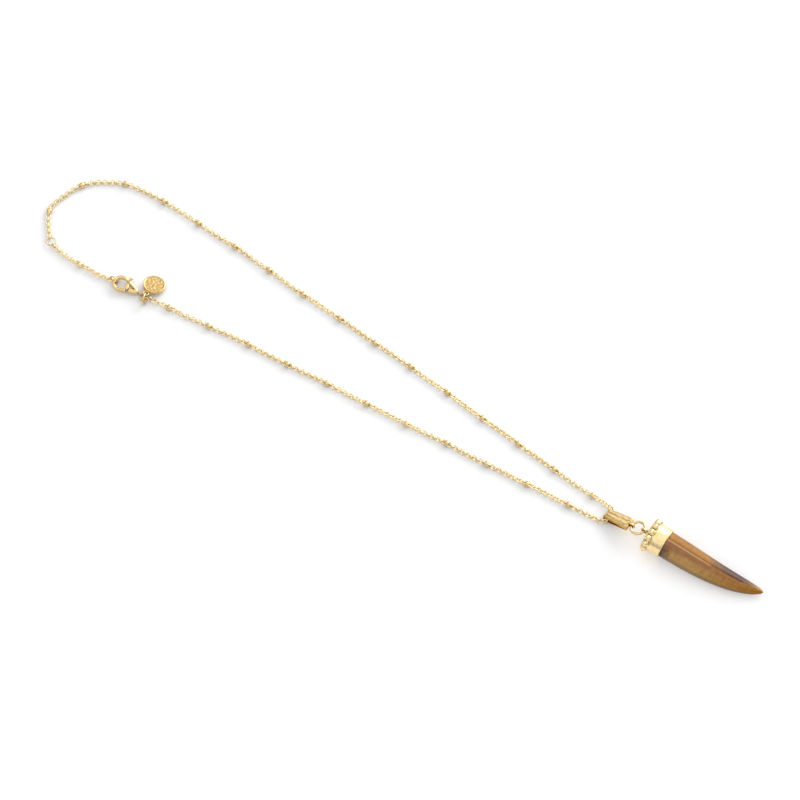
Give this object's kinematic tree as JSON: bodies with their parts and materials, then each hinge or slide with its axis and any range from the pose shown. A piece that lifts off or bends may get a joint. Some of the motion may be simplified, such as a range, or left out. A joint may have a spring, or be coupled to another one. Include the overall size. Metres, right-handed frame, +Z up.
{
  "type": "horn pendant necklace",
  "caption": "Gold ball-and-link chain necklace with lobster clasp and round tag, carrying a curved polished stone horn in a granulated cap on a ribbed bail.",
  "frame": {"origin": "on the table, under the middle of the laid-out necklace", "axes": "+X from the clasp's end of the loop to the horn's tip, +Z up from the table"},
  "size_m": [0.2762, 0.0385, 0.0117],
  "materials": {
    "gold": "polished",
    "stone": "polished"
  },
  "bodies": {
    "necklace": {"horn_stone": "stone", "horn_cap": "gold", "pendant_ring": "gold", "bail": "gold", "chain_upper": "gold", "chain_lower": "gold", "chain_beads": "gold", "adjuster_ring": "gold", "extension_chain": "gold", "end_ring": "gold", "clasp_body": "gold", "clasp_pin": "gold", "clasp_ring": "gold", "tag_ring": "gold", "tag_disc": "gold"},
    "clasp_lever": {"clasp_lever": "gold"}
  },
  "joints": [
    {"name": "lever_pivot", "type": "hinge", "parent": "necklace", "child": "clasp_lever", "pos_m": [-0.09799, -0.01445, 0.00142], "axis": [0, 0, -1], "range_deg": [0, 26], "stiffness_Nm_per_rad": 0.00002, "springref_deg": -11.46}
  ]
}
